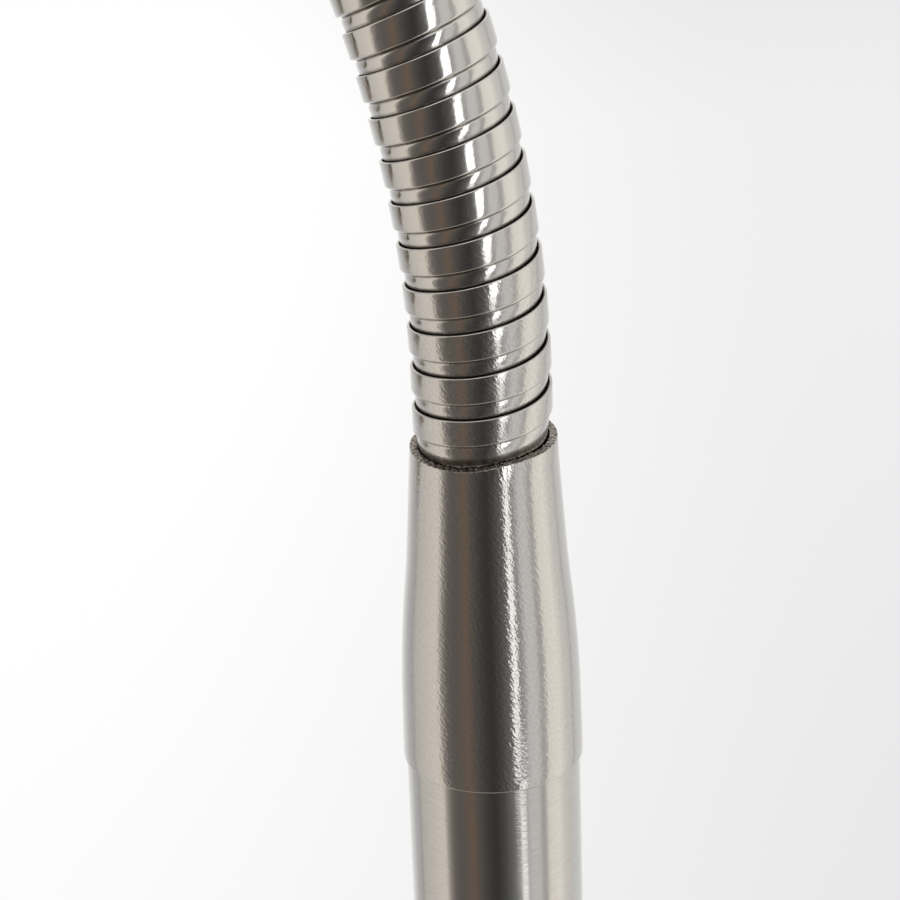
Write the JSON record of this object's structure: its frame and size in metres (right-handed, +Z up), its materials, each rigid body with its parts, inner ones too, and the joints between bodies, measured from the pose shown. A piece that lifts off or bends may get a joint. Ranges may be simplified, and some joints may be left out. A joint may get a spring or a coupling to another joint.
{
  "type": "gooseneck reading floor lamp",
  "caption": "Floor lamp with a weighted round foot, a slim steel pole, a tapered collar and a stripwound gooseneck that carries a spun reading shade.",
  "frame": {"origin": "centre of the foot where it rests on the floor, on the pole axis", "axes": "+Z up along the pole; the neck bends over towards -X at rest, so the head is at -X"},
  "size_m": [0.4862, 0.23, 1.2753],
  "materials": {
    "base_steel": "brushed",
    "pole_steel": "brushed round the tube",
    "collar_steel": "satin brushed",
    "hose_strip": "polished strip",
    "shade_steel": "spun and brushed",
    "knob_steel": "turned",
    "zinc_plate": "zinc plated",
    "cast_weight": "as cast",
    "felt": "felt",
    "black_nylon": "moulded",
    "lead_jacket": "extruded",
    "phenolic": "moulded",
    "brass": "pressed",
    "bulb_metal": "pressed",
    "opal_glass": "opal"
  },
  "bodies": {
    "stand": {"base_cover": "base_steel", "base_weight": "cast_weight", "base_felt": "felt", "base_washer": "zinc_plate", "base_nut": "zinc_plate", "base_nipple": "zinc_plate", "cord_gland": "black_nylon", "pole_lead": "lead_jacket", "pole_lower": "pole_steel", "pole_middle": "pole_steel", "pole_upper": "pole_steel", "pole_coupler_lower": "zinc_plate", "pole_coupler_upper": "zinc_plate", "pole_bottom_insert": "zinc_plate", "pole_top_insert": "zinc_plate", "pole_flange": "pole_steel"},
    "neck_base": {"gooseneck_collar": "collar_steel", "hose_fitting_lower": "zinc_plate", "gooseneck_root": "hose_strip"},
    "neck_01": {"gooseneck_link_01": "hose_strip"},
    "neck_02": {"gooseneck_link_02": "hose_strip"},
    "neck_03": {"gooseneck_link_03": "hose_strip"},
    "neck_04": {"gooseneck_link_04": "hose_strip"},
    "neck_05": {"gooseneck_link_05": "hose_strip"},
    "neck_06": {"gooseneck_link_06": "hose_strip"},
    "neck_07": {"gooseneck_link_07": "hose_strip"},
    "neck_08": {"gooseneck_link_08": "hose_strip"},
    "neck_09": {"gooseneck_link_09": "hose_strip"},
    "neck_10": {"gooseneck_link_10": "hose_strip"},
    "neck_11": {"gooseneck_link_11": "hose_strip"},
    "neck_12": {"gooseneck_link_12": "hose_strip"},
    "neck_13": {"gooseneck_link_13": "hose_strip"},
    "head": {"gooseneck_tip": "hose_strip", "head_ferrule": "collar_steel", "hose_fitting_upper": "zinc_plate", "head_bush": "zinc_plate", "socket_cup": "shade_steel", "head_washer": "zinc_plate", "head_nut": "zinc_plate", "head_lead": "lead_jacket", "holder_cap": "phenolic", "lamp_holder": "phenolic", "screw_shell": "brass", "centre_contact": "brass", "shade_ring": "phenolic", "shade": "shade_steel", "bulb_cap": "bulb_metal", "bulb_glass": "opal_glass", "switch_body": "black_nylon", "switch_nut": "zinc_plate"},
    "switch": {"switch_shaft": "zinc_plate", "switch_knob": "knob_steel"}
  },
  "joints": [
    {"name": "neck_turn", "type": "hinge", "parent": "stand", "child": "neck_base", "pos_m": [0, 0, 1.11101], "axis": [0, 0, 1], "range_deg": [-90, 90]},
    {"name": "neck_bend_01", "type": "hinge", "parent": "neck_base", "child": "neck_01", "pos_m": [0, 0, 1.14793], "axis": [0, -1, 0], "range_deg": [-22.5, 3.75]},
    {"name": "neck_bend_02", "type": "hinge", "parent": "neck_01", "child": "neck_02", "pos_m": [-0.00231, 0, 1.17135], "axis": [0, -1, 0], "range_deg": [-22.5, 3.75]},
    {"name": "neck_bend_03", "type": "hinge", "parent": "neck_02", "child": "neck_03", "pos_m": [-0.00913, 0, 1.19386], "axis": [0, -1, 0], "range_deg": [-22.5, 3.75]},
    {"name": "neck_bend_04", "type": "hinge", "parent": "neck_03", "child": "neck_04", "pos_m": [-0.02022, 0, 1.2146], "axis": [0, -1, 0], "range_deg": [-22.5, 3.75]},
    {"name": "neck_bend_05", "type": "hinge", "parent": "neck_04", "child": "neck_05", "pos_m": [-0.03515, 0, 1.23279], "axis": [0, -1, 0], "range_deg": [-22.5, 3.75]},
    {"name": "neck_bend_06", "type": "hinge", "parent": "neck_05", "child": "neck_06", "pos_m": [-0.05333, 0, 1.24771], "axis": [0, -1, 0], "range_deg": [-22.5, 3.75]},
    {"name": "neck_bend_07", "type": "hinge", "parent": "neck_06", "child": "neck_07", "pos_m": [-0.07408, 0, 1.2588], "axis": [0, -1, 0], "range_deg": [-22.5, 3.75]},
    {"name": "neck_bend_08", "type": "hinge", "parent": "neck_07", "child": "neck_08", "pos_m": [-0.09659, 0, 1.26563], "axis": [0, -1, 0], "range_deg": [-22.5, 3.75]},
    {"name": "neck_bend_09", "type": "hinge", "parent": "neck_08", "child": "neck_09", "pos_m": [-0.12, 0, 1.26794], "axis": [0, -1, 0], "range_deg": [-22.5, 3.75]},
    {"name": "neck_bend_10", "type": "hinge", "parent": "neck_09", "child": "neck_10", "pos_m": [-0.14341, 0, 1.26563], "axis": [0, -1, 0], "range_deg": [-22.5, 3.75]},
    {"name": "neck_bend_11", "type": "hinge", "parent": "neck_10", "child": "neck_11", "pos_m": [-0.16592, 0, 1.2588], "axis": [0, -1, 0], "range_deg": [-22.5, 3.75]},
    {"name": "neck_bend_12", "type": "hinge", "parent": "neck_11", "child": "neck_12", "pos_m": [-0.18667, 0, 1.24771], "axis": [0, -1, 0], "range_deg": [-22.5, 3.75]},
    {"name": "neck_bend_13", "type": "hinge", "parent": "neck_12", "child": "neck_13", "pos_m": [-0.20485, 0, 1.23279], "axis": [0, -1, 0], "range_deg": [-22.5, 3.75]},
    {"name": "neck_bend_14", "type": "hinge", "parent": "neck_13", "child": "head", "pos_m": [-0.21978, 0, 1.2146], "axis": [0, -1, 0], "range_deg": [-22.5, 3.75]},
    {"name": "switch_turn", "type": "hinge", "parent": "head", "child": "switch", "pos_m": [-0.28135, 0, 1.17645], "axis": [-0.8315, 0, 0.5556], "range_deg": [0, 90]}
  ]
}
